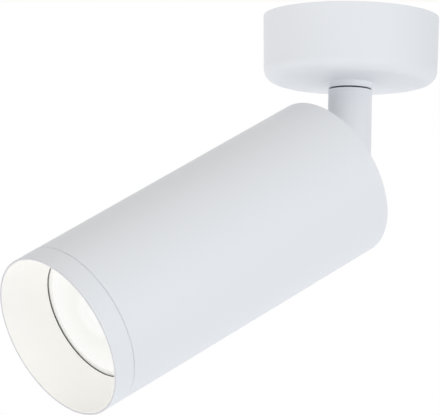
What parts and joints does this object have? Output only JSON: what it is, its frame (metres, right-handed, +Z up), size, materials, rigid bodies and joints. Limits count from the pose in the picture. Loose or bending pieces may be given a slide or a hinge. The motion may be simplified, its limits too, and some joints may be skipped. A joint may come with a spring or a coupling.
{
  "type": "ceiling spotlight",
  "caption": "White tubular spotlight on a round ceiling canopy, with a swivelling stem, a tilting knuckle joint, a screw-on front ring and a twist-lock reflector lamp.",
  "frame": {"origin": "centre of the canopy's rim, on the ceiling", "axes": "+Z up into the ceiling; the head points towards -X and down, 60 degrees from straight down; the tilt axis is parallel to Y"},
  "size_m": [0.1704, 0.0644, 0.1523],
  "materials": {
    "white_steel": "matte",
    "white_aluminium": "matte",
    "baffle_white": "matte",
    "zinc_steel": "satin",
    "spring_steel": "satin",
    "nickel": "satin",
    "brass": "satin",
    "block_plastic": "matte",
    "black_nylon": "matte",
    "black_rubber": "matte",
    "dark_silicone": "matte",
    "white_ceramic": "matte",
    "lamp_plastic": "satin",
    "lamp_lens": "satin",
    "board": "satin",
    "led": "gloss"
  },
  "bodies": {
    "mount": {"mounting_plate": "zinc_steel", "canopy_cup": "white_steel", "canopy_grub_screws": "white_steel", "terminal_block": "block_plastic", "terminal_inserts": "brass", "terminal_screws": "zinc_steel", "terminal_block_screw": "zinc_steel", "earth_screw": "brass", "earth_washer": "brass", "swivel_collar": "white_steel", "floor_washer": "black_nylon", "stop_pin": "zinc_steel"},
    "stem": {"stem_fork": "white_steel", "swivel_washer": "black_nylon", "threaded_nipple": "zinc_steel", "spring_washer": "spring_steel", "stop_washer": "zinc_steel", "nipple_nut": "zinc_steel", "pivot_screw": "white_steel", "pivot_nut": "zinc_steel", "friction_washers": "black_nylon"},
    "head": {"tube_housing": "white_aluminium", "rear_cap": "white_aluminium", "rear_lug": "white_steel", "lug_screws": "zinc_steel", "cable_bush": "black_rubber", "holder_bracket": "zinc_steel", "bracket_screws": "zinc_steel", "lampholder": "white_ceramic", "lampholder_screws": "zinc_steel", "lampholder_contacts": "brass", "head_earth_screw": "brass", "head_earth_washer": "brass"},
    "lamp": {"lamp_shell": "lamp_plastic", "lamp_base": "lamp_plastic", "lamp_pins": "nickel", "lamp_bezel": "lamp_plastic", "lamp_lens": "lamp_lens", "led_board": "board", "led_chips": "led"},
    "ring_seal": {"lamp_gasket": "dark_silicone"},
    "front_ring": {"front_ring": "white_aluminium", "glare_baffle": "baffle_white"}
  },
  "joints": [
    {"name": "swivel", "type": "hinge", "parent": "mount", "child": "stem", "pos_m": [0, 0, -0.027], "axis": [0, 0, 1], "range_deg": [-170, 170]},
    {"name": "tilt", "type": "hinge", "parent": "stem", "child": "head", "pos_m": [0, 0, -0.05525], "axis": [0, 1, 0], "range_deg": [-60, 30]},
    {"name": "ring_travel", "type": "slide", "parent": "head", "child": "ring_seal", "axis": [-0.866, 0, -0.5], "range_m": [0, 0.0045]},
    {"name": "ring_turn", "type": "hinge", "parent": "ring_seal", "child": "front_ring", "pos_m": [-0.11557, 0, -0.12198], "axis": [-0.866, 0, -0.5], "range_deg": [0, 1080]},
    {"name": "lamp_twist", "type": "hinge", "parent": "head", "child": "lamp", "pos_m": [-0.06772, 0, -0.09435], "axis": [-0.866, 0, -0.5], "range_deg": [0, 20]}
  ],
  "couplings": [
    {"joint": "ring_travel", "follows": "ring_turn", "m_per_rad": 0.00023873}
  ]
}
